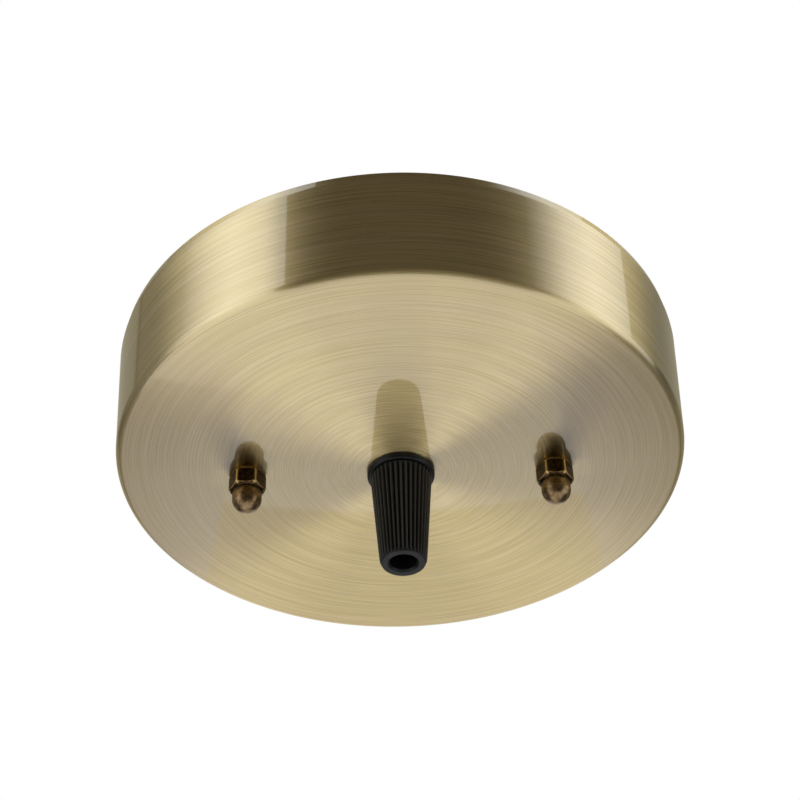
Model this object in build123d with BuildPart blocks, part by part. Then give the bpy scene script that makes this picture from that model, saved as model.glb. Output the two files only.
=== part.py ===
from build123d import *

import os

# Ceiling canopy of a pendant lamp, in millimetres.
#
# A spun metal cup hides the ceiling outlet. Inside it a cranked strip, the mounting bar, is
# screwed to the ceiling. Two machine screws hang from the bar as studs, pass through the
# cup's face and carry acorn nuts, which pull the cup up against the ceiling. A moulded cord
# grip sits in the middle of the face: its stem is held by a nut inside the cup, and a ribbed
# sleeve screws over its split fingers to clamp the cord.
#
# Z is up. The origin lies in the ceiling plane at the middle of the bar, so the whole part
# hangs below z = 0, and the two studs stand on the X axis.

# Cup: a sheet metal dish, face down
CUP_RADIUS = 61.0
CUP_DEPTH = 27.0
SHEET = 0.8
WALL_DRAFT = 1.0  # the wall is this much narrower in radius at the face than at the rim
CUP_BEND_RADIUS = 1.5  # outside bend between wall and face
RIM_TURN_HEIGHT = 2.0  # the last stretch of the wall leans inwards
RIM_TURN_IN = 0.35
RIM_BEND_RADIUS = 2.5  # at the middle of the sheet

# Mounting bar: a cranked steel strip whose middle lies on the ceiling
BAR_THICKNESS = 1.5
BAR_WIDTH = 16.0
BAR_END_CORNER = 3.0
HEAD_ROOM = 3.4  # between the studs' heads and the ceiling
TAB_INSIDE = 7.0  # from a stud's axis in to the crank
CRANK_RUN = 5.0
CRANK_BEND_RADIUS = 1.8  # at the middle of the strip
CABLE_HOLE_RADIUS = 5.0
SLOT_WIDTH = 5.0
SLOT_WEB = 2.0  # between the cable hole and a slot
SLOT_MARGIN = 1.5  # between a slot and the crank

# Studs, with their threads at full diameter
M4_RADIUS = 2.0
THREAD_CLEARANCE = 0.05  # in radius, between a screw and the thread that it turns in
STUD_SPACING = 65.0
STUD_REACH = 4.0  # how far a stud runs into its acorn nut
STUD_HOLE_CLEARANCE = 0.25
THREAD_END_CHAMFER = 0.5
PAN_HEAD_RADIUS = 4.0
PAN_HEAD_HEIGHT = 2.6
PAN_HEAD_ROUND = 1.5
RECESS_SPAN = 4.4
RECESS_WIDTH = 0.9
RECESS_DEPTH = 1.5
RECESS_TAPER = 12.0  # degrees

# Small hexagon nuts
M4_FLATS = 7.0
M4_NUT_HEIGHT = 3.2
HEX_CHAMFER = 0.4
ACORN_HEX_HEIGHT = 3.8
ACORN_SHOULDER = 0.35
ACORN_DOME_RADIUS = 3.1
ACORN_THREAD_SPARE = 1.6  # blind thread beyond the stud's tip
ACORN_CAP = 3.4  # solid metal beyond the blind thread

# Cord grip stem: threaded stub inside the cup, flange and split fingers outside
GRIP_THREAD_RADIUS = 5.0
GRIP_HOLE_CLEARANCE = 0.25
GRIP_STUB_SPARE = 3.9  # stub beyond the nut
GRIP_FLANGE_RADIUS = 7.15
GRIP_FLANGE_HEIGHT = 1.5
GRIP_FLANGE_ROUND = 0.45
GRIP_BORE_RADIUS = 2.75
GRIP_STEM_RADIUS = 4.6
GRIP_STEM_LENGTH = 10.0
FINGER_LENGTH = 4.6
FINGER_TIP_RADIUS = 3.8
FINGER_SLITS = 2  # each slit runs right across, so they make twice as many fingers
SLIT_WIDTH = 0.9
SLIT_EXTRA = 3.0  # how far the slits run up past the fingers

# Ribbed sleeve
SLEEVE_GAP = 0.1  # running clearance between sleeve and stem
SLEEVE_TOP_RADIUS = 6.5
SLEEVE_TIP_RADIUS = 4.9
SLEEVE_BEVEL_HEIGHT = 0.9
SLEEVE_BEVEL_IN = 0.35
SLEEVE_SHOULDER = 1.0
SLEEVE_MOUTH_LENGTH = 6.4  # narrow way out below the shoulder
SLEEVE_MOUTH_CHAMFER = 0.35
RIB_COUNT = 36
RIB_DEPTH = 0.34
RIB_CREST = 0.55  # share of the pitch that is crest

# Nut and toothed washer that hold the stem inside the cup
GRIP_NUT_FLATS = 14.0
GRIP_NUT_HEIGHT = 3.0
GRIP_NUT_CHAMFER = 0.5
WASHER_RADIUS = 8.4
WASHER_THICKNESS = 0.8
WASHER_TEETH = 12
TOOTH_DEPTH = 1.3
TOOTH_GAP = 1.1

# Earth terminal under the bar's right-hand tab
EARTH_GAP = 1.5  # between the stud's nut and the clamp
CLAMP_SIZE = 8.0
CLAMP_SHEET = 0.9
CLAMP_LIP = 1.0  # lips that reach up to the bar and bridge the wire
CLAMP_MARGIN = 0.5  # between the clamp and the bar's end
SPRING_RADIUS = 3.5
SPRING_HEIGHT = 0.9
SPRING_SLIT = 0.5
EARTH_TIP_ROOM = 2.3  # between the earth screw's tip and the ceiling

# Radii and places that follow from the sizes above
M4_BORE_RADIUS = M4_RADIUS + THREAD_CLEARANCE
M4_HOLE_RADIUS = M4_RADIUS + STUD_HOLE_CLEARANCE
GRIP_HOLE_RADIUS = GRIP_THREAD_RADIUS + GRIP_HOLE_CLEARANCE
STUD_X = STUD_SPACING / 2
STUDS = {"left": -STUD_X, "right": STUD_X}

FACE_Z = -CUP_DEPTH
FACE_INSIDE_Z = FACE_Z + SHEET
CRANK_DROP = PAN_HEAD_HEIGHT + HEAD_ROOM
TAB_TOP_Z = -CRANK_DROP
TAB_UNDER_Z = TAB_TOP_Z - BAR_THICKNESS

EARTH_X = STUD_X + M4_FLATS / 3**0.5 + EARTH_GAP + CLAMP_SIZE / 2
BAR_END_X = EARTH_X + CLAMP_SIZE / 2 + CLAMP_MARGIN
CRANK_OUTER_X = STUD_X - TAB_INSIDE
CRANK_INNER_X = CRANK_OUTER_X - CRANK_RUN
SLOT_INNER_X = CABLE_HOLE_RADIUS + SLOT_WEB
SLOT_OUTER_X = CRANK_INNER_X - SLOT_MARGIN

CLAMP_TOP_Z = TAB_UNDER_Z - CLAMP_LIP
SPRING_TOP_Z = CLAMP_TOP_Z - CLAMP_SHEET
EARTH_SEAT_Z = SPRING_TOP_Z - SPRING_HEIGHT

WASHER_TOP_Z = FACE_INSIDE_Z + WASHER_THICKNESS
STUB_TOP_Z = WASHER_TOP_Z + GRIP_NUT_HEIGHT + GRIP_STUB_SPARE
FLANGE_UNDER_Z = FACE_Z - GRIP_FLANGE_HEIGHT
FINGER_ROOT_Z = FLANGE_UNDER_Z - GRIP_STEM_LENGTH
FINGER_TIP_Z = FINGER_ROOT_Z - FINGER_LENGTH
SLEEVE_TOP_Z = FLANGE_UNDER_Z - SLEEVE_GAP
SHOULDER_TOP_Z = FINGER_TIP_Z - SLEEVE_GAP
SHOULDER_END_Z = SHOULDER_TOP_Z - SLEEVE_SHOULDER
SLEEVE_TIP_Z = SHOULDER_END_Z - SLEEVE_MOUTH_LENGTH


def make_cup():
    """Bent sheet section, turned and trimmed level at the rim, with holes for grip and studs."""
    half_sheet = SHEET / 2
    face_middle = FACE_Z + half_sheet
    wall_middle = CUP_RADIUS - half_sheet
    rim_middle = wall_middle - RIM_TURN_IN
    trim_turn_in = RIM_TURN_IN * SHEET / RIM_TURN_HEIGHT
    with BuildPart() as canopy_cup:
        with BuildSketch(Plane.XZ):
            with BuildLine():
                FilletPolyline(
                    (GRIP_HOLE_RADIUS, face_middle),
                    (wall_middle - WALL_DRAFT, face_middle),
                    (wall_middle, -RIM_TURN_HEIGHT),
                    (rim_middle - trim_turn_in, SHEET),
                    radius=(CUP_BEND_RADIUS - half_sheet, RIM_BEND_RADIUS),
                )
            trace(line_width=SHEET)
        revolve(axis=Axis.Z)
        split(bisect_by=Plane.XY, keep=Keep.BOTTOM)
        with Locations(*[(x, 0, FACE_Z) for x in STUDS.values()]):
            Hole(M4_HOLE_RADIUS)
    return canopy_cup


def make_bar():
    """Strip with its middle on the ceiling and a lower tab at each end."""
    middle_z = -BAR_THICKNESS / 2
    tab_z = middle_z - CRANK_DROP
    with BuildPart() as mounting_bar:
        with BuildSketch(Plane.XZ):
            with BuildLine():
                FilletPolyline(
                    (-BAR_END_X, tab_z),
                    (-CRANK_OUTER_X, tab_z),
                    (-CRANK_INNER_X, middle_z),
                    (CRANK_INNER_X, middle_z),
                    (CRANK_OUTER_X, tab_z),
                    (BAR_END_X, tab_z),
                    radius=CRANK_BEND_RADIUS,
                )
            trace(line_width=BAR_THICKNESS)
        extrude(amount=BAR_WIDTH / 2, both=True)
        ends = mounting_bar.edges().filter_by(Axis.Z).group_by(Axis.X)
        fillet([*ends[0], *ends[-1]], radius=BAR_END_CORNER)
        with BuildSketch():
            Circle(CABLE_HOLE_RADIUS)
            slot_x = (SLOT_INNER_X + SLOT_OUTER_X) / 2
            with Locations((-slot_x, 0), (slot_x, 0)):
                SlotOverall(SLOT_OUTER_X - SLOT_INNER_X, SLOT_WIDTH)
        extrude(amount=-BAR_THICKNESS, mode=Mode.SUBTRACT)
        with Locations(*[(x, 0) for x in STUDS.values()], (EARTH_X, 0)):
            Hole(M4_BORE_RADIUS)
    return mounting_bar


def make_screw(length):
    """Cross-recessed pan head screw, its head standing on z = 0 and its shank hanging down."""
    with BuildPart() as screw:
        with BuildSketch():
            Circle(PAN_HEAD_RADIUS)
        extrude(amount=PAN_HEAD_HEIGHT)
        fillet(screw.edges().group_by(Axis.Z)[-1], radius=PAN_HEAD_ROUND)
        with BuildSketch(Plane.XY.offset(PAN_HEAD_HEIGHT)):
            Rectangle(RECESS_SPAN, RECESS_WIDTH)
            Rectangle(RECESS_WIDTH, RECESS_SPAN)
        extrude(amount=-RECESS_DEPTH, taper=RECESS_TAPER, mode=Mode.SUBTRACT)
        with BuildSketch():
            Circle(M4_RADIUS)
        extrude(amount=-length)
        chamfer(screw.edges().group_by(Axis.Z)[0], length=THREAD_END_CHAMFER)
    return screw


def hexagon_cone(flats, height, corner_height):
    """Half section of the double cone that takes a hexagon's corners back at both ends."""
    with BuildSketch(Plane.XZ) as section:
        Polygon(
            (0, 0),
            (flats / 2, 0),
            (flats / 3**0.5, corner_height),
            (flats / 3**0.5, height - corner_height),
            (flats / 2, height),
            (0, height),
            align=None,
        )
    return section.sketch


def make_nut(flats, height, bore_radius, corner_height):
    """Hexagon nut standing on z = 0, two of its corners on the X axis."""
    with BuildPart() as nut:
        with BuildSketch():
            RegularPolygon(radius=flats / 2, side_count=6, major_radius=False)
        extrude(amount=height)
        revolve(hexagon_cone(flats, height, corner_height), axis=Axis.Z, mode=Mode.INTERSECT)
        Hole(bore_radius)
    return nut


def make_acorn_nut():
    """Domed nut with its seat on z = 0, its dome up and a blind thread from below."""
    thread_depth = STUD_REACH + ACORN_THREAD_SPARE
    height = thread_depth + ACORN_CAP
    dome_centre = height - ACORN_DOME_RADIUS
    with BuildPart() as acorn_nut:
        with BuildSketch():
            RegularPolygon(radius=M4_FLATS / 2, side_count=6, major_radius=False)
        extrude(amount=ACORN_HEX_HEIGHT)
        cone = hexagon_cone(M4_FLATS, ACORN_HEX_HEIGHT, HEX_CHAMFER)
        revolve(cone, axis=Axis.Z, mode=Mode.INTERSECT)
        with BuildSketch(Plane.XZ):
            with BuildLine():
                Polyline(
                    (0, 0),
                    (ACORN_DOME_RADIUS, 0),
                    (M4_FLATS / 2, ACORN_HEX_HEIGHT),
                    (ACORN_DOME_RADIUS, ACORN_HEX_HEIGHT + ACORN_SHOULDER),
                    (ACORN_DOME_RADIUS, dome_centre),
                )
                CenterArc((0, dome_centre), ACORN_DOME_RADIUS, 0, 90)
                Line((0, height), (0, 0))
            make_face()
        revolve(axis=Axis.Z)
        with BuildSketch():
            Circle(M4_BORE_RADIUS)
        extrude(amount=thread_depth, mode=Mode.SUBTRACT)
    return acorn_nut


def make_stem():
    """Moulded stem of the grip, turned and then slit into fingers at its lower end."""
    with BuildPart() as grip_stem:
        with BuildSketch(Plane.XZ):
            Polygon(
                (GRIP_BORE_RADIUS, STUB_TOP_Z),
                (GRIP_THREAD_RADIUS - THREAD_END_CHAMFER, STUB_TOP_Z),
                (GRIP_THREAD_RADIUS, STUB_TOP_Z - THREAD_END_CHAMFER),
                (GRIP_THREAD_RADIUS, FACE_Z),
                (GRIP_FLANGE_RADIUS, FACE_Z),
                (GRIP_FLANGE_RADIUS, FLANGE_UNDER_Z),
                (GRIP_STEM_RADIUS, FLANGE_UNDER_Z),
                (GRIP_STEM_RADIUS, FINGER_ROOT_Z),
                (FINGER_TIP_RADIUS, FINGER_TIP_Z),
                (GRIP_BORE_RADIUS, FINGER_TIP_Z),
                align=None,
            )
        revolve(axis=Axis.Z)
        flange_rims = grip_stem.edges().filter_by(GeomType.CIRCLE).sort_by(SortBy.RADIUS)[-2:]
        fillet(flange_rims, radius=GRIP_FLANGE_ROUND)
        with BuildSketch(Plane.XY.offset(FINGER_TIP_Z)):
            with PolarLocations(0, FINGER_SLITS, angular_range=180):
                Rectangle(4 * GRIP_STEM_RADIUS, SLIT_WIDTH)
        extrude(amount=FINGER_LENGTH + SLIT_EXTRA, mode=Mode.SUBTRACT)
    return grip_stem


def rib_points(crest_radius):
    """Corners of a ribbed ring: flat crests with V grooves between them."""
    pitch = 360 / RIB_COUNT
    points = []
    for rib in range(RIB_COUNT):
        crest_start = rib * pitch
        crest_end = crest_start + pitch * RIB_CREST
        groove = (crest_end + crest_start + pitch) / 2
        points.append(Vector(crest_radius, 0).rotate(Axis.Z, crest_start))
        points.append(Vector(crest_radius, 0).rotate(Axis.Z, crest_end))
        points.append(Vector(crest_radius - RIB_DEPTH, 0).rotate(Axis.Z, groove))
    return points


def make_sleeve():
    """Tapered sleeve: lofted ribs, a bevelled tip, and a stepped bore that squeezes the fingers."""
    with BuildPart() as grip_sleeve:
        with BuildSketch(Plane.XY.offset(SLEEVE_TOP_Z)):
            Polygon(*rib_points(SLEEVE_TOP_RADIUS), align=None)
        with BuildSketch(Plane.XY.offset(SLEEVE_TIP_Z)):
            Polygon(*rib_points(SLEEVE_TIP_RADIUS), align=None)
        loft(ruled=True)
        with BuildSketch(Plane.XZ):
            Polygon(
                (0, SLEEVE_TOP_Z),
                (SLEEVE_TOP_RADIUS, SLEEVE_TOP_Z),
                (SLEEVE_TIP_RADIUS, SLEEVE_TIP_Z + SLEEVE_BEVEL_HEIGHT),
                (SLEEVE_TIP_RADIUS - SLEEVE_BEVEL_IN, SLEEVE_TIP_Z),
                (0, SLEEVE_TIP_Z),
                align=None,
            )
        revolve(axis=Axis.Z, mode=Mode.INTERSECT)
        with BuildSketch(Plane.XZ):
            Polygon(
                (0, SLEEVE_TOP_Z),
                (GRIP_STEM_RADIUS + SLEEVE_GAP, SLEEVE_TOP_Z),
                (GRIP_STEM_RADIUS + SLEEVE_GAP, FINGER_ROOT_Z),
                (FINGER_TIP_RADIUS + SLEEVE_GAP, SHOULDER_TOP_Z),
                (GRIP_BORE_RADIUS, SHOULDER_END_Z),
                (GRIP_BORE_RADIUS, SLEEVE_TIP_Z + SLEEVE_MOUTH_CHAMFER),
                (GRIP_BORE_RADIUS + SLEEVE_MOUTH_CHAMFER, SLEEVE_TIP_Z),
                (0, SLEEVE_TIP_Z),
                align=None,
            )
        revolve(axis=Axis.Z, mode=Mode.SUBTRACT)
    return grip_sleeve


def make_toothed_washer():
    """Spring washer with teeth round its hole, lying on the inside of the face."""
    with BuildPart() as grip_washer:
        with BuildSketch(Plane.XY.offset(FACE_INSIDE_Z)):
            Circle(WASHER_RADIUS)
            Circle(GRIP_HOLE_RADIUS, mode=Mode.SUBTRACT)
            with PolarLocations(GRIP_HOLE_RADIUS, WASHER_TEETH):
                Rectangle(2 * TOOTH_DEPTH, TOOTH_GAP, mode=Mode.SUBTRACT)
        extrude(amount=WASHER_THICKNESS)
    return grip_washer


def make_clamp():
    """Square plate under the bar with two lips, so that a wire fits between plate and bar."""
    lip_y = (CLAMP_SIZE - CLAMP_SHEET) / 2
    with BuildPart() as earth_clamp:
        with BuildSketch(Plane.XY.offset(SPRING_TOP_Z)):
            with Locations((EARTH_X, 0)):
                Rectangle(CLAMP_SIZE, CLAMP_SIZE)
                Circle(M4_HOLE_RADIUS, mode=Mode.SUBTRACT)
        extrude(amount=CLAMP_SHEET)
        with BuildSketch(Plane.XY.offset(CLAMP_TOP_Z)):
            with Locations((EARTH_X, -lip_y), (EARTH_X, lip_y)):
                Rectangle(CLAMP_SIZE, CLAMP_SHEET)
        extrude(amount=CLAMP_LIP)
    return earth_clamp


def make_spring_ring():
    """Split ring between the earth screw's head and the clamp."""
    with BuildPart() as earth_spring:
        with BuildSketch(Plane.XY.offset(EARTH_SEAT_Z)):
            with Locations((EARTH_X, 0)):
                Circle(SPRING_RADIUS)
                Circle(M4_HOLE_RADIUS, mode=Mode.SUBTRACT)
            with Locations((EARTH_X + SPRING_RADIUS, 0)):
                Rectangle(2 * (SPRING_RADIUS - M4_RADIUS), SPRING_SLIT, mode=Mode.SUBTRACT)
        extrude(amount=SPRING_HEIGHT)
    return earth_spring


def moved(piece, place):
    """The same piece, set down at a place."""
    with BuildPart() as copy:
        with Locations(place):
            add(piece.part)
    return copy


def write(piece, name):
    piece.part.label = name
    export_step(piece.part, f"parts/{name}.step")


os.makedirs("parts", exist_ok=True)

# Cup and cord grip
write(make_cup(), "canopy_cup")
write(make_stem(), "grip_stem")
write(make_sleeve(), "grip_sleeve")
write(make_toothed_washer(), "grip_washer")
grip_nut = make_nut(
    GRIP_NUT_FLATS, GRIP_NUT_HEIGHT, GRIP_THREAD_RADIUS + THREAD_CLEARANCE, GRIP_NUT_CHAMFER
)
write(moved(grip_nut, Location((0, 0, WASHER_TOP_Z))), "grip_nut")

# Bracket with its studs and their nuts
write(make_bar(), "mounting_bar")
stud = make_screw(TAB_TOP_Z - FACE_Z + STUD_REACH)
stud_nut = make_nut(M4_FLATS, M4_NUT_HEIGHT, M4_BORE_RADIUS, HEX_CHAMFER)
acorn_nut = make_acorn_nut()
for side, x in STUDS.items():
    write(moved(stud, Location((x, 0, TAB_TOP_Z))), f"stud_{side}")
    write(moved(stud_nut, Location((x, 0, TAB_UNDER_Z - M4_NUT_HEIGHT))), f"stud_nut_{side}")
    write(moved(acorn_nut, Location((x, 0, FACE_Z), (180, 0, 0))), f"acorn_nut_{side}")

# Earth terminal
write(make_clamp(), "earth_clamp")
write(make_spring_ring(), "earth_spring")
earth_screw = make_screw(-EARTH_TIP_ROOM - EARTH_SEAT_Z)
write(moved(earth_screw, Location((EARTH_X, 0, EARTH_SEAT_Z), (180, 0, 0))), "earth_screw")
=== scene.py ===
"""Ceiling canopy of a pendant lamp, seen from below. Lengths are in metres."""

from math import ceil, cos, exp, pi, radians, sin, sqrt, tan

import bmesh
import bpy
from mathutils import Matrix, Vector


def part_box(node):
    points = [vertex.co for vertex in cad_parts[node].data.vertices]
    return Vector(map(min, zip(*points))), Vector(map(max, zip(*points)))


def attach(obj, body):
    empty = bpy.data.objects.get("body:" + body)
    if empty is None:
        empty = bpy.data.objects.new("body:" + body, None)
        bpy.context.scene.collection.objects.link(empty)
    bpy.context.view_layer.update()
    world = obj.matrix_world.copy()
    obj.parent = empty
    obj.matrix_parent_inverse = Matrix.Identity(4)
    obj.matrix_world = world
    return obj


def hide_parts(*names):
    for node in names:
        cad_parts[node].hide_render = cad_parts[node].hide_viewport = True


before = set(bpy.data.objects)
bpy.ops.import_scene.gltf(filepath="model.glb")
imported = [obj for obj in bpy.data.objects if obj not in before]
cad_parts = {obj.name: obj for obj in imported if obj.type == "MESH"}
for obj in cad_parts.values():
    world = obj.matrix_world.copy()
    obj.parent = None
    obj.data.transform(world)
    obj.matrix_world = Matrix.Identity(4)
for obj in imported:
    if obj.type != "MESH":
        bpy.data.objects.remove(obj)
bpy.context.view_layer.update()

MM = 0.001

# Camera, fitted to the photograph's ellipses
IMAGE_SIDE = 800
SENSOR = 36.0
FOCAL_PIXELS = 1781
CAMERA_PITCH = radians(40.66)
CAMERA_ROLL = radians(1.72)
CAMERA_PLACE = Vector((0.27, -296.6, -261.5)) * MM
NEAREST = 0.01
FARTHEST = 50.0

# Studio
FLOOR_Z = -0.5
FLOOR_HALF = 4.0
FLOOR_COLOUR = (0.85, 0.85, 0.85, 1)
FLOOR_GLOW_SHARE = 0.95
WHITE_LIGHT = {"Color": (1, 1, 1, 1), "Strength": 1.0}
CARD_RADIUS = 1.2
CARD_STEPS = 48
CARD_FOOT_GAP = 0.01

# Fineness of the meshes
CUP_COLUMNS = 360
CUP_BEND_STEPS = 14
HOLE_COLUMNS = 48
SCREW_COLUMNS = 40
STEM_COLUMNS = 96
HEX_COLUMNS = 180
COLUMNS_PER_RIB = 12
SLEEVE_ROWS = 26
ROWS_PER_TURN = 8
SHARP_ANGLE = radians(38)
MERGE_DISTANCE = 1e-7
SAME_RADIUS = 1e-6

# Sizes that the grip's stem and sleeve share
GRIP_BORE = 2.75 * MM
STEM_RADIUS = 4.6 * MM

# Details that are finer than the solids
M4_PITCH = 0.7 * MM
M4_THREAD_DEPTH = 0.36 * MM
M10_PITCH = 1.0 * MM
M10_THREAD_DEPTH = 0.5 * MM
FLANK_SLOPE = 1.25
RIBS = 36
RIB_DEPTH = 0.60 * MM
GROOVE_SHARE = 0.25
EDGE_ROUND = 0.10 * MM


def centre(node):
    """Middle of a CAD node's box."""
    low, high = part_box(node)
    return (Vector(low) + Vector(high)) / 2


def make_camera():
    """The photograph's camera, which looks up at the canopy and is rolled a little."""
    data = bpy.data.cameras.new("camera")
    data.sensor_width = SENSOR
    data.lens = FOCAL_PIXELS / IMAGE_SIDE * SENSOR
    data.clip_start = NEAREST
    data.clip_end = FARTHEST
    camera = bpy.data.objects.new("camera", data)
    bpy.context.scene.collection.objects.link(camera)
    forward = Vector((0, cos(CAMERA_PITCH), sin(CAMERA_PITCH)))
    up = Vector((0, -sin(CAMERA_PITCH), cos(CAMERA_PITCH)))
    right = forward.cross(up)
    level = Matrix((right, up, -forward)).transposed()
    turned = level @ Matrix.Rotation(-CAMERA_ROLL, 3, "Z")
    camera.matrix_world = Matrix.Translation(CAMERA_PLACE) @ turned.to_4x4()
    bpy.context.scene.camera = camera


class Graph:
    """A node tree written as calls: each call adds nodes and links or sets their inputs."""

    def __init__(self, tree):
        self.tree = tree
        tree.nodes.clear()

    def add(self, kind, inputs=None, **settings):
        made = self.tree.nodes.new(kind)
        for name, value in settings.items():
            setattr(made, name, value)
        for key, value in (inputs or {}).items():
            if isinstance(value, bpy.types.NodeSocket):
                self.tree.links.new(value, made.inputs[key])
            else:
                made.inputs[key].default_value = value
        return made

    def math(self, operation, a, b):
        return self.add("ShaderNodeMath", {0: a, 1: b}, operation=operation).outputs[0]

    def vary(self, value, least, extra):
        """least where value is 0, and extra more where it is 1."""
        return self.math("ADD", self.math("MULTIPLY", value, extra), least)

    def fade(self, value, start, end):
        """0 below start and 1 above end, with a soft step between."""
        inputs = {"Value": value, "From Min": start, "From Max": end}
        return self.add("ShaderNodeMapRange", inputs, interpolation_type="SMOOTHSTEP").outputs[0]

    def mix(self, factor, a, b):
        """Colour a where factor is 0 and b where it is 1."""
        made = self.add("ShaderNodeMix", data_type="RGBA")
        for socket, value in ((made.inputs[0], factor), (made.inputs[6], a), (made.inputs[7], b)):
            if isinstance(value, bpy.types.NodeSocket):
                self.tree.links.new(value, socket)
            else:
                socket.default_value = (*value, 1)
        return made.outputs[2]

    def noise(self, vector, scale, detail=3.0, roughness=0.5):
        inputs = {"Vector": vector, "Scale": scale, "Detail": detail, "Roughness": roughness}
        return self.add("ShaderNodeTexNoise", inputs).outputs["Fac"]

    def bump(self, height, distance, strength):
        inputs = {"Height": height, "Distance": distance, "Strength": strength}
        return self.add("ShaderNodeBump", inputs).outputs[0]

    def mesh_value(self, name):
        """A value that the mesh keeps at each of its points, or 0 where it keeps none."""
        return self.add("ShaderNodeAttribute", attribute_name=name).outputs["Fac"]

    def place(self):
        """Object coordinates in millimetres: vector, x, y and z."""
        place = self.add("ShaderNodeTexCoord").outputs["Object"]
        inputs = {0: place, "Scale": 1 / MM}
        scaled = self.add("ShaderNodeVectorMath", inputs, operation="SCALE").outputs[0]
        parts = self.add("ShaderNodeSeparateXYZ", {0: scaled}).outputs
        return scaled, parts[0], parts[1], parts[2]

    def surface(self, shader):
        self.add("ShaderNodeOutputMaterial", {"Surface": shader})

    def principled(self, **inputs):
        named = {name.replace("_", " "): value for name, value in inputs.items()}
        return self.add("ShaderNodeBsdfPrincipled", named).outputs[0]


def new_material(name):
    material = bpy.data.materials.new(name)
    material.use_nodes = True
    return material, Graph(material.node_tree)


def brushed_coordinates(graph, along, across):
    """Noise coordinates that are long round the Z axis and short along the cup's profile."""
    _, x, y, z = graph.place()
    flat = graph.add("ShaderNodeCombineXYZ", {0: x, 1: y}).outputs[0]
    round_axis = graph.add("ShaderNodeVectorMath", {0: flat}, operation="NORMALIZE").outputs[0]
    radius = graph.add("ShaderNodeVectorMath", {0: flat}, operation="LENGTH").outputs["Value"]
    parts = graph.add("ShaderNodeSeparateXYZ", {0: round_axis}).outputs
    profile = graph.math("SUBTRACT", radius, z)
    inputs = {
        0: graph.math("MULTIPLY", parts[0], along),
        1: graph.math("MULTIPLY", parts[1], along),
        2: graph.math("MULTIPLY", profile, across),
    }
    return graph.add("ShaderNodeCombineXYZ", inputs).outputs[0]


def brushed_brass():
    """Antique brass brushed in circles, broad in its gloss, under a clear glossy lacquer."""
    material, graph = new_material("brushed_antique_brass")
    deep = (0.640, 0.505, 0.225)
    bright = (0.855, 0.695, 0.345)
    pale_deep = (0.655, 0.515, 0.245)
    pale_bright = (0.865, 0.700, 0.370)
    fine_share = 0.55
    fine = graph.noise(brushed_coordinates(graph, along=2.2, across=6.5), scale=1.0, detail=2.0)
    middle = graph.noise(brushed_coordinates(graph, along=1.0, across=3.6), scale=1.0, detail=2.0)
    broad = graph.noise(brushed_coordinates(graph, along=0.45, across=0.5), scale=1.0, detail=1.0)
    fine_part = graph.math("MULTIPLY", fine, fine_share)
    strokes = graph.math("ADD", fine_part, graph.math("MULTIPLY", middle, 1 - fine_share))
    mask = graph.fade(strokes, start=0.39, end=0.61)
    plain = graph.mix(mask, deep, bright)
    paler = graph.mix(mask, pale_deep, pale_bright)
    shader = graph.principled(
        Base_Color=graph.mix(graph.fade(broad, start=0.35, end=0.65), plain, paler),
        Metallic=1.0,
        Roughness=graph.vary(mask, least=0.37, extra=0.05),
        Anisotropic=1.0,
        Anisotropic_Rotation=0.25,
        Tangent=graph.add("ShaderNodeTangent", direction_type="RADIAL", axis="Z").outputs[0],
        Normal=graph.bump(strokes, distance=0.01 * MM, strength=0.15),
        Coat_Weight=1.0,
        Coat_IOR=1.9,
        Coat_Roughness=0.035,
    )
    graph.surface(shader)
    return material


def aged_bronze():
    """Dark patina, thinner on the dome and rubbed through where the mesh's wear value is high."""
    material, graph = new_material("aged_bronze")
    patina_dark = (0.022, 0.013, 0.006)
    patina_light = (0.085, 0.052, 0.024)
    dome_dark = (0.150, 0.094, 0.042)
    dome_light = (0.35, 0.240, 0.132)
    bare_metal = (0.68, 0.47, 0.19)
    place, _, _, _ = graph.place()
    blotch = graph.noise(place, scale=1.1, detail=4.0, roughness=0.6)
    speck = graph.noise(place, scale=6.0, detail=3.0, roughness=0.6)
    grain = graph.noise(place, scale=5.0, detail=3.0)
    patina = graph.mix(graph.fade(blotch, start=0.35, end=0.68), patina_dark, patina_light)
    dome = graph.mix(graph.fade(blotch, start=0.3, end=0.7), dome_dark, dome_light)
    body = graph.mix(graph.mesh_value("dome"), patina, dome)
    worn = graph.math("MULTIPLY", graph.mesh_value("wear"), graph.fade(speck, start=0.2, end=0.55))
    shader = graph.principled(
        Base_Color=graph.mix(worn, body, bare_metal),
        Metallic=1.0,
        Roughness=graph.vary(speck, least=0.22, extra=0.22),
        Normal=graph.bump(grain, distance=0.02 * MM, strength=0.6),
    )
    graph.surface(shader)
    return material


def black_nylon():
    """Satin moulded plastic with a faint grain, and a painted highlight: a paler grey on the crests
    of the ribs, set by the mesh's value, so the grooves between read as painted shade.
    """
    material, graph = new_material("black_nylon")
    black = (0.011, 0.011, 0.012)
    soft_black = (0.017, 0.017, 0.0185)
    # Painted highlight grey for the crests of the ribs
    crest_highlight_grey = (0.058, 0.058, 0.062)
    place, _, _, _ = graph.place()
    grain = graph.noise(place, scale=8.0, detail=4.0, roughness=0.6)
    cloud = graph.noise(place, scale=0.6, detail=2.0)
    plain = graph.mix(graph.fade(cloud, start=0.3, end=0.7), black, soft_black)
    shader = graph.principled(
        Base_Color=graph.mix(graph.mesh_value("crest_highlight"), plain, crest_highlight_grey),
        Roughness=graph.vary(grain, least=0.24, extra=0.16),
        Specular_IOR_Level=0.27,
        Specular_Tint=(0.86, 0.92, 1.0, 1.0),
        Normal=graph.bump(grain, distance=0.012 * MM, strength=0.5),
    )
    graph.surface(shader)
    return material


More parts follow.
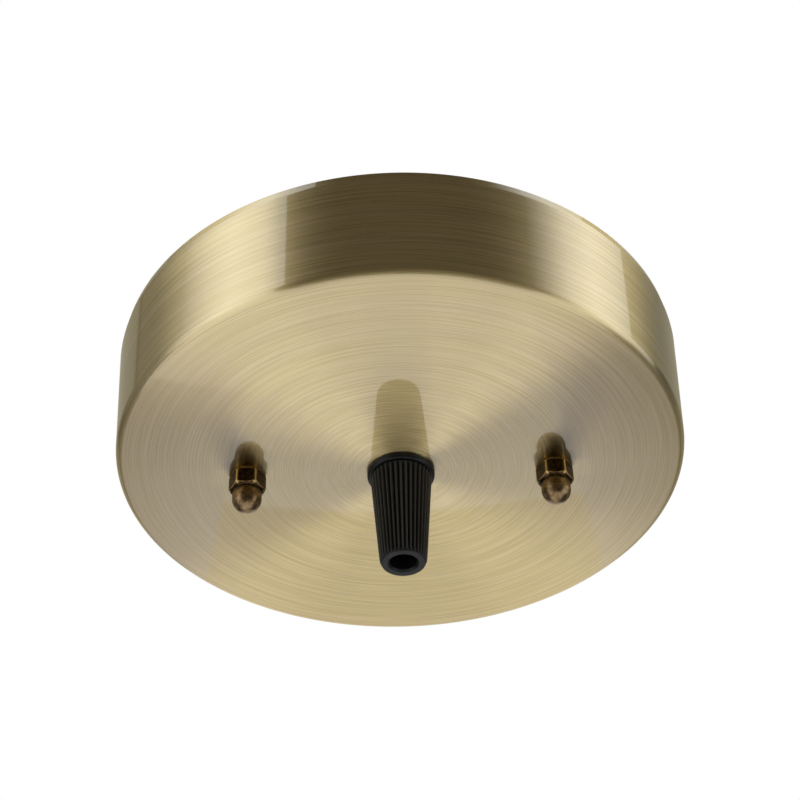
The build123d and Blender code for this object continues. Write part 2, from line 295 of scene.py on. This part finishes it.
def plated_metal(name, dark, light, roughness):
    """Plated or plain turned metal with faint clouds, fine scratches and a little relief."""
    material, graph = new_material(name)
    stretch = 0.12
    place, x, y, z = graph.place()
    stretched = {0: graph.math("MULTIPLY", x, stretch), 1: y, 2: z}
    scratch_place = graph.add("ShaderNodeCombineXYZ", stretched).outputs[0]
    cloud = graph.noise(place, scale=0.35, detail=4.0, roughness=0.6)
    scratch = graph.noise(scratch_place, scale=5.0, detail=3.0, roughness=0.6)
    shader = graph.principled(
        Base_Color=graph.mix(graph.fade(cloud, start=0.3, end=0.7), dark, light),
        Metallic=1.0,
        Roughness=graph.vary(scratch, least=roughness, extra=0.2),
        Normal=graph.bump(scratch, distance=0.008 * MM, strength=0.5),
    )
    graph.surface(shader)
    return material


def add_object(name, mesh):
    made = bpy.data.objects.new(name, mesh)
    bpy.context.scene.collection.objects.link(made)
    return made


def clean_mesh(mesh):
    """Joins points that coincide and turns every face outwards."""
    work = bmesh.new()
    work.from_mesh(mesh)
    bmesh.ops.remove_doubles(work, verts=work.verts, dist=MERGE_DISTANCE)
    bmesh.ops.recalc_face_normals(work, faces=work.faces)
    work.to_mesh(mesh)
    work.free()


def smooth_mesh(mesh):
    mesh.shade_smooth()
    mesh.set_sharp_from_angle(angle=SHARP_ANGLE)


def turned_mesh(name, profile, columns, reach=None, marks=None):
    """A closed mesh turned about its own Z axis.

    profile is a closed loop of (radius, height) rows. reach(angle, row, radius, height) may
    change the radius, and marks names point values worked out by the same arguments.
    """
    mesh = bpy.data.meshes.new(name)
    points = []
    values = {mark: [] for mark in marks or {}}
    for row, (radius, height) in enumerate(profile):
        for column in range(columns):
            angle = 2 * pi * column / columns
            out = reach(angle, row, radius, height) if reach else radius
            points.append((out * cos(angle), out * sin(angle), height))
            for mark in values:
                values[mark].append(marks[mark](angle, row, radius, height))
    rows = len(profile)
    faces = []
    for row in range(rows):
        below = row * columns
        above = (row + 1) % rows * columns
        for column in range(columns):
            beside = (column + 1) % columns
            faces.append((below + column, below + beside, above + beside, above + column))
    mesh.from_pydata(points, [], faces)
    for mark, numbers in values.items():
        mesh.attributes.new(mark, "FLOAT", "POINT").data.foreach_set("value", numbers)
    clean_mesh(mesh)
    smooth_mesh(mesh)
    return mesh


def arc_rows(centre_radius, centre_height, radius, start, end, steps):
    """Rows of a profile along an arc, in degrees from the outward direction."""
    rows = []
    for step in range(steps + 1):
        angle = radians(start + (end - start) * step / steps)
        rows.append((centre_radius + radius * cos(angle), centre_height + radius * sin(angle)))
    return rows


def straight_rows(radius, start, end, spacing):
    """Rows of a profile at one radius, no farther apart than spacing."""
    steps = max(1, ceil(abs(end - start) / spacing))
    return [(radius, start + (end - start) * step / steps) for step in range(steps + 1)]


def thread_reach(full_radius, depth, pitch, start, end):
    """Makes a right-hand thread on the rows at full radius between two heights."""

    def reach(angle, row, radius, height):
        if abs(radius - full_radius) > SAME_RADIUS or not start <= height <= end:
            return radius
        phase = (height / pitch - angle / (2 * pi)) % 1
        flank = min(1.0, abs(2 * phase - 1) * FLANK_SLOPE)
        fade = min(1.0, (height - start) / pitch, (end - height) / pitch)
        return radius - depth * (1 - flank) * max(0.0, fade)

    return reach


def finish_piece(piece, body, material, node):
    """Gives a piece its material and body in place of a CAD node, which it hides."""
    piece.data.materials.append(material)
    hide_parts(node)
    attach(piece, body)


def cross_punch(span, half, low, high, foot=1.0):
    """Cross-shaped cutter about the Z axis whose low end is scaled by foot."""
    mesh = bpy.data.meshes.new("punch")
    corners = [
        (span, -half), (span, half), (half, half), (half, span), (-half, span), (-half, half),
        (-span, half), (-span, -half), (-half, -half), (-half, -span), (half, -span), (half, -half),
    ]
    upper = [(x, y, high) for x, y in corners]
    lower = [(x * foot, y * foot, low) for x, y in corners]
    count = len(corners)
    sides = [(i, (i + 1) % count, count + (i + 1) % count, count + i) for i in range(count)]
    faces = [tuple(range(count)), tuple(range(2 * count - 1, count - 1, -1)), *sides]
    mesh.from_pydata(upper + lower, [], faces)
    clean_mesh(mesh)
    return add_object("punch", mesh)


def cut_with(piece, cutter):
    """Cuts one mesh out of a piece and removes the cutter."""
    cut = piece.modifiers.new("cut", "BOOLEAN")
    cut.operation = "DIFFERENCE"
    cut.solver = "EXACT"
    cut.object = cutter
    bpy.context.view_layer.update()
    evaluated = piece.evaluated_get(bpy.context.evaluated_depsgraph_get())
    mesh = bpy.data.meshes.new_from_object(evaluated)
    piece.modifiers.clear()
    piece.data = mesh
    bpy.data.objects.remove(cutter)
    smooth_mesh(mesh)
    mesh.materials.clear()


def bent_sheet(corners, radii, thickness, steps):
    """Closed section of a sheet whose middle line runs through corners.

    Each corner but the first and last is bent at one of the radii, and the last end is cut at
    height 0.
    """
    line = []
    last = len(corners) - 1
    for index, corner in enumerate(corners):
        here = Vector(corner)
        if index in (0, last):
            near = Vector(corners[1]) - here if index == 0 else here - Vector(corners[-2])
            along = near.normalized()
            line.append((here, Vector((along.y, -along.x)), along))
            continue
        before = (here - Vector(corners[index - 1])).normalized()
        after = (Vector(corners[index + 1]) - here).normalized()
        radius = radii[index - 1]
        turn = abs(before.angle_signed(after))
        reach = radius * tan(turn / 2)
        side = 1 if before.cross(after) > 0 else -1
        out = Vector((before.y, -before.x))
        middle = here - before * reach - out * radius * side
        for step in range(steps + 1):
            angle = turn * step / steps * side
            across = out.x * cos(angle) - out.y * sin(angle)
            rise = out.x * sin(angle) + out.y * cos(angle)
            normal = Vector((across, rise))
            line.append((middle + normal * radius * side, normal, Vector((-rise, across))))
    sides = []
    for offset in (thickness / 2, -thickness / 2):
        rows = [place + normal * offset for place, normal, _ in line]
        end_along = line[-1][2]
        rows[-1] -= end_along * (rows[-1].y / end_along.y)
        sides.append([(row.x, row.y) for row in rows])
    return sides[0] + sides[1][::-1]


def make_cup(material):
    """The spun cup, turned finely enough for an even gloss round its bends."""
    low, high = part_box("canopy_cup")
    sheet = 0.8 * MM
    draft = 1.0 * MM
    face_bend = 1.5 * MM
    rim_bend = 2.5 * MM
    turn_height = 2.0 * MM
    turn_in = 0.35 * MM
    grip_hole = 5.25 * MM
    stud_hole = 2.25 * MM
    wall = high[0] - sheet / 2
    face = low[2] + sheet / 2
    rim = wall - turn_in * (turn_height + sheet) / turn_height
    corners = [(grip_hole, face), (wall - draft, face), (wall, -turn_height), (rim, sheet)]
    profile = bent_sheet(corners, (face_bend - sheet / 2, rim_bend), sheet, CUP_BEND_STEPS)
    piece = add_object("spun_cup", turned_mesh("spun_cup", profile, CUP_COLUMNS))

    # The cutters are turned by half a column, so that none of their corners meets the cup's
    under = low[2] - sheet
    over = low[2] + 2 * sheet
    outline = [(0, under), (stud_hole, under), (stud_hole, over), (0, over)]
    half_column = Matrix.Rotation(pi / HOLE_COLUMNS, 4, "Z")
    for side in ("left", "right"):
        mesh = turned_mesh("punch", outline, HOLE_COLUMNS)
        mesh.transform(Matrix.Translation((centre(f"stud_{side}").x, 0, 0)) @ half_column)
        cut_with(piece, add_object("punch", mesh))
    finish_piece(piece, "canopy", material, "canopy_cup")


def make_screw(name, node, body, material, head_up):
    """A pan head screw with a real thread and a crossed recess."""
    low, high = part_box(node)
    length = high[2] - low[2]
    shank = 2.0 * MM
    chamfer = 0.5 * MM
    head_radius = (high[0] - low[0]) / 2
    head_height = 2.6 * MM
    head_round = 1.5 * MM
    head_edge = 0.15 * MM
    seat = length - head_height
    profile = [(0, 0), (shank - chamfer, 0)]
    profile += straight_rows(shank, chamfer, seat, M4_PITCH / ROWS_PER_TURN)
    profile += [(head_radius - head_edge, seat), (head_radius, seat + head_edge)]
    profile += arc_rows(head_radius - head_round, length - head_round, head_round, 0, 90, steps=8)
    profile += [(0, length)]
    reach = thread_reach(shank, M4_THREAD_DEPTH, M4_PITCH, chamfer, seat)
    piece = add_object(name, turned_mesh(name, profile, SCREW_COLUMNS, reach))

    recess_span = 2.2 * MM
    recess_half = 0.5 * MM
    recess_floor = length - 1.5 * MM
    recess_top = length + 0.2 * MM
    recess_foot = 0.62
    cut_with(piece, cross_punch(recess_span, recess_half, recess_floor, recess_top, recess_foot))

    middle = centre(node)
    turn = Matrix.Identity(4) if head_up else Matrix.Rotation(pi, 4, "X")
    tip_z = low[2] if head_up else high[2]
    piece.data.transform(Matrix.Translation((middle.x, middle.y, tip_z)) @ turn)
    finish_piece(piece, body, material, node)


def hexagon_radius(angle, flats):
    """Distance from a hexagon's axis to its side, with corners on the X axis."""
    return flats / 2 / cos(angle % (pi / 3) - pi / 6)


def soft_min(a, b, width):
    """The smaller of two values, rounded over where they are nearly equal."""
    blend = max(0.0, width - abs(a - b)) / width
    return min(a, b) - blend * blend * width / 4


def ridge(distance, width):
    """1 at no distance, falling smoothly to almost nothing at twice the width."""
    return exp(-((distance / width) ** 2))


def make_acorn_nut(side, material):
    """Domed nut with rounded, rubbed edges."""
    node = f"acorn_nut_{side}"
    low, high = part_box(node)
    height = high[2] - low[2]
    flats = high[1] - low[1]
    corner = flats / sqrt(3)
    hex_height = 3.8 * MM
    hex_spacing = 0.085 * MM
    bore = 2.05 * MM
    bore_depth = 5.6 * MM
    bore_chamfer = 0.2 * MM
    seat_radius = flats / 2 - 0.35 * MM
    cone_start = flats / 2 - 0.05 * MM
    cone_slope = 1.35
    shoulder = 0.35 * MM
    shoulder_radius = flats / 2 - 0.2 * MM
    shoulder_z = hex_height + 0.02 * MM
    ledge_z = hex_height + shoulder * 0.55
    neck_z = hex_height + shoulder * 0.8
    dome_z = hex_height + shoulder * 1.5
    dome_radius = 3.1 * MM
    neck_radius = dome_radius - 0.10 * MM
    patina_collar = 0.9 * MM
    patina_fade = 1.2 * MM
    corner_wear = 0.13 * MM
    cone_wear = 0.10 * MM

    def cone_radius(z):
        return cone_start + cone_slope * min(z, hex_height - z)

    profile = [(0, bore_depth), (bore, bore_depth), (bore, bore_chamfer), (bore + bore_chamfer, 0)]
    profile += [(seat_radius, 0)]
    first_hex = len(profile)
    profile += straight_rows(corner, 0, hex_height, hex_spacing)
    last_hex = len(profile) - 1
    profile += [(shoulder_radius, shoulder_z), (dome_radius, ledge_z)]
    first_dome = len(profile)
    profile += [(neck_radius, neck_z), (dome_radius, dome_z)]
    profile += arc_rows(0, height - dome_radius, dome_radius, 0, 90, steps=20)

    def hex_reach(angle, row, radius, z):
        if not first_hex <= row <= last_hex:
            return radius
        side_radius = min(hexagon_radius(angle, flats), corner - EDGE_ROUND)
        return soft_min(side_radius, cone_radius(z), EDGE_ROUND)

    def wear(angle, row, radius, z):
        if not first_hex <= row <= last_hex:
            return 0.0
        side_radius = hexagon_radius(angle, flats)
        to_corner = ridge(corner - side_radius, corner_wear)
        to_cone = ridge(cone_radius(z) - side_radius, cone_wear)
        return min(1.0, to_corner + to_cone)

    def dome(angle, row, radius, z):
        if row < first_dome:
            return 0.0
        return min(1.0, max(0.0, (z - hex_height - patina_collar) / patina_fade))

    mesh = turned_mesh(node, profile, HEX_COLUMNS, hex_reach, {"wear": wear, "dome": dome})
    middle = centre(node)
    down = Matrix.Rotation(pi, 4, "X")
    mesh.transform(Matrix.Translation((middle.x, middle.y, high[2])) @ down)
    piece = add_object(f"domed_nut_{side}", mesh)
    finish_piece(piece, f"acorn_{side}", material, node)


def make_sleeve(material):
    """The grip's ribbed taper with rounded ribs, a bevelled tip and its bore."""
    low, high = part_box("grip_sleeve")
    top = high[2]
    tip = low[2]
    top_radius = 6.5 * MM
    top_edge = 0.25 * MM
    top_edge_height = 0.2 * MM
    tip_radius = 4.9 * MM
    bevel_height = 0.9 * MM
    edge_radius = tip_radius - 0.35 * MM
    edge_out = 0.1 * MM
    edge_in = 0.12 * MM
    edge_height = 0.1 * MM
    bevel_foot = 0.3 * MM
    mouth_chamfer = 0.45 * MM
    mouth_length = 6.4 * MM
    shoulder = 1.0 * MM
    gap = 0.1 * MM
    inner = STEM_RADIUS + gap
    inner_narrow = inner - 0.8 * MM
    inner_end = 12.1 * MM
    crest_slope = 1.2

    profile = [(inner, top), (top_radius - top_edge, top)]
    first = top - top_edge_height
    bevel_top = tip + bevel_height
    for row in range(SLEEVE_ROWS + 1):
        height = first + (bevel_top - first) * row / SLEEVE_ROWS
        radius = top_radius + (tip_radius - top_radius) * (top - height) / (top - bevel_top)
        profile.append((radius, height))
    profile += [(edge_radius + edge_out, tip + bevel_foot), (edge_radius, tip + edge_height)]
    profile += [(edge_radius - edge_in, tip), (GRIP_BORE + mouth_chamfer, tip)]
    profile += [(GRIP_BORE, tip + mouth_chamfer), (GRIP_BORE, tip + mouth_length)]
    profile += [(inner_narrow, tip + mouth_length + shoulder), (inner, tip + inner_end)]

    # How deep the grooves are on each row: they fade in at the top and out on the bevel
    depths = [0.0, 0.0, 0.3] + [1.0] * (SLEEVE_ROWS - 1) + [0.75, 0.2]
    depths += [0.0] * (len(profile) - len(depths))

    def groove(angle):
        across = (angle * RIBS / (2 * pi)) % 1 - 0.5
        return ridge(across, GROOVE_SHARE)

    def reach(angle, row, radius, height):
        return radius - RIB_DEPTH * depths[row] * groove(angle)

    # Painted highlight: how much paler grey each point on the crests of the ribs gets, fading to
    # none in the grooves
    def crest_highlight(angle, row, radius, height):
        return depths[row] * max(0.0, 1 - crest_slope * groove(angle))

    mesh = turned_mesh("ribbed_sleeve", profile, RIBS * COLUMNS_PER_RIB, reach, {"crest_highlight": crest_highlight})
    piece = add_object("ribbed_sleeve", mesh)
    finish_piece(piece, "sleeve", material, "grip_sleeve")


def make_stem(material):
    """The grip's stem: threaded stub inside the cup, rounded flange and four fingers outside."""
    low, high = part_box("grip_stem")
    tip = low[2]
    top = high[2]
    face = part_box("canopy_cup")[0][2]
    finger_tip = 3.8 * MM
    finger_length = 4.6 * MM
    slit_half = 0.45 * MM
    slit_start = tip - 0.2 * MM
    slit_end = tip + finger_length + 3.0 * MM
    flange = (high[0] - low[0]) / 2
    flange_under = face - 1.5 * MM
    flange_round = 0.55 * MM
    flange_edge = 0.25 * MM
    stub = 5.0 * MM
    stub_chamfer = 0.5 * MM
    thread_start = face + 0.8 * MM
    thread_end = top - 0.4 * MM
    profile = [(GRIP_BORE, tip), (finger_tip, tip)]
    profile += [(STEM_RADIUS, tip + finger_length), (STEM_RADIUS, flange_under)]
    round_z = flange_under + flange_round
    profile += arc_rows(flange - flange_round, round_z, flange_round, -90, 0, steps=8)
    profile += arc_rows(flange - flange_edge, face - flange_edge, flange_edge, 0, 90, steps=4)
    profile += straight_rows(stub, face, top - stub_chamfer, M10_PITCH / ROWS_PER_TURN)
    profile += [(stub - stub_chamfer, top), (GRIP_BORE, top)]
    reach = thread_reach(stub, M10_THREAD_DEPTH, M10_PITCH, thread_start, thread_end)
    mesh = turned_mesh("threaded_stem", profile, STEM_COLUMNS, reach)
    piece = add_object("threaded_stem", mesh)
    cut_with(piece, cross_punch(2 * STEM_RADIUS, slit_half, slit_start, slit_end))
    finish_piece(piece, "canopy", material, "grip_stem")


def make_floor():
    """Pale floor well below the object, white to the camera and in reflections."""
    material, graph = new_material("floor")
    rays = graph.add("ShaderNodeLightPath").outputs
    mirrored = graph.math("MAXIMUM", rays["Is Glossy Ray"], rays["Is Transmission Ray"])
    seen = graph.math("MAXIMUM", rays["Is Camera Ray"], mirrored)
    glow = graph.add("ShaderNodeEmission", WHITE_LIGHT).outputs[0]
    matt = graph.add("ShaderNodeBsdfDiffuse", {"Color": FLOOR_COLOUR}).outputs[0]
    share = graph.math("MULTIPLY", seen, FLOOR_GLOW_SHARE)
    graph.surface(graph.add("ShaderNodeMixShader", {0: share, 1: matt, 2: glow}).outputs[0])
    mesh = bpy.data.meshes.new("floor")
    half = FLOOR_HALF
    corners = ((-half, -half), (half, -half), (half, half), (-half, half))
    mesh.from_pydata([(x, y, FLOOR_Z) for x, y in corners], [], [(0, 1, 2, 3)])
    mesh.materials.append(material)
    floor_piece = add_object("floor", mesh)


def share_at(stops, azimuth):
    """Share of a card's colour at an azimuth, between the two stops beside it."""
    for (start, low), (end, high) in zip(stops, stops[1:]):
        if azimuth <= end:
            return low + (high - low) * (azimuth - start) / (end - start)
    return stops[-1][1]


def make_card(name, elevations, colour, stops):
    """A curved studio card, unseen by the camera, that ends above the floor.

    stops pairs azimuths with shares of the colour. Azimuth 0 is the photograph's side, 90 is +X.
    """
    points = []
    shares = []
    lowest, highest = elevations
    first, last = stops[0][0], stops[-1][0]
    for row in range(CARD_STEPS + 1):
        elevation = radians(lowest + (highest - lowest) * row / CARD_STEPS)
        for column in range(CARD_STEPS + 1):
            degrees = first + (last - first) * column / CARD_STEPS
            azimuth = radians(degrees)
            level = cos(elevation)
            direction = Vector((sin(azimuth) * level, -cos(azimuth) * level, sin(elevation)))
            reach = CARD_RADIUS
            if direction.z < 0:
                reach = min(CARD_RADIUS, (FLOOR_Z + CARD_FOOT_GAP) / direction.z)
            points.append(direction * reach)
            shares.append(share_at(stops, degrees))
    faces = []
    for row in range(CARD_STEPS):
        for column in range(CARD_STEPS):
            below = row * (CARD_STEPS + 1) + column
            above = below + CARD_STEPS + 1
            faces.append((below, below + 1, above + 1, above))
    mesh = bpy.data.meshes.new(name)
    mesh.from_pydata(points, [], faces)
    mesh.attributes.new("share", "FLOAT", "POINT").data.foreach_set("value", shares)
    material, graph = new_material(name)
    inputs = {"Color": (*colour, 1), "Strength": graph.mesh_value("share")}
    graph.surface(graph.add("ShaderNodeEmission", inputs).outputs[0])
    mesh.materials.append(material)
    card = add_object(name, mesh)
    card.visible_camera = False


def make_studio():
    """Soft white light all round, and cards that give the metal its light and dark bands."""
    make_floor()
    dark = (0.088, 0.074, 0.054)
    glow = (1.47, 1.51, 1.55)
    grey = (0.31, 0.29, 0.22)
    wing = (0.03, 0.03, 0.035)
    strip = (0.60, 0.56, 0.48)
    overhead = (0.24, 0.22, 0.18)
    make_card("flag", (-56, 74), dark, ((-41.5, 1.3), (-30, 1.0), (35, 1.0), (52, 1.3)))
    make_card("softbox_left", (-22, 74), glow, ((-92, 0.14), (-80, 0.55), (-64, 1.0), (-41.5, 0.70)))
    make_card("softbox_right", (-22, 74), glow, ((52, 0.05), (70, 0.86), (82, 1.0), (102, 0.48)))
    left_stops = ((-160, 1.3), (-127, 1.15), (-124, 0.36), (-122, 0.72), (-92, 0.95))
    make_card("grey_left", (-12, 74), grey, left_stops)
    right_stops = ((102, 0.30), (114, 0.40), (124, 1.0), (160, 1.1))
    make_card("grey_right", (-12, 74), grey, right_stops)
    left_tail = ((-168, 26.0), (-160, 15.0), (-152, 3.0), (-147, 1.0))
    make_card("wing_left", (-45, -12), wing, (*left_tail, (-124, 1.0), (-122, 4.0), (-92, 4.0)))
    right_tail = ((150, 1.0), (160, 12.0), (168, 26.0))
    make_card("wing_right", (-54, -12), wing, ((92, 4.0), (122, 4.0), (124, 1.0), *right_tail))
    make_card("strip_behind", (-37.5, -16), strip, ((168, 1.3), (174, 1.0), (186, 1.0), (192, 1.3)))
    ring = ((-180, 1.0), (-60, 1.0), (-41, 0.4), (52, 0.4), (70, 1.0), (180, 1.0))
    make_card("ceiling", (74, 90), overhead, ring)
    world = bpy.data.worlds.new("studio")
    bpy.context.scene.world = world
    world.use_nodes = True
    graph = Graph(world.node_tree)
    background = graph.add("ShaderNodeBackground", WHITE_LIGHT).outputs[0]
    graph.add("ShaderNodeOutputWorld", {"Surface": background})
    bpy.context.scene.view_settings.view_transform = "Standard"


make_camera()
brass = brushed_brass()
bronze = aged_bronze()
nylon = black_nylon()
zinc = plated_metal("zinc_plate", (0.46, 0.46, 0.45), (0.60, 0.60, 0.585), 0.24)
terminal_brass = plated_metal("turned_brass", (0.60, 0.44, 0.18), (0.74, 0.58, 0.27), 0.20)

# CAD nodes that stay as they are
carried_over = {
    "mounting_bar": zinc,
    "stud_nut_left": zinc,
    "stud_nut_right": zinc,
    "grip_nut": zinc,
    "grip_washer": zinc,
    "earth_spring": zinc,
    "earth_clamp": terminal_brass,
}
for node, material in carried_over.items():
    for material_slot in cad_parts[node].material_slots:
        material_slot.material = material

# Pieces made here in place of CAD nodes
for side in ("left", "right"):
    make_acorn_nut(side, bronze)
    make_screw(f"threaded_stud_{side}", f"stud_{side}", "bracket", zinc, True)
make_screw("threaded_earth_screw", "earth_screw", "earth_terminal", terminal_brass, False)
make_cup(brass)
make_sleeve(nylon)
make_stem(nylon)
make_studio()
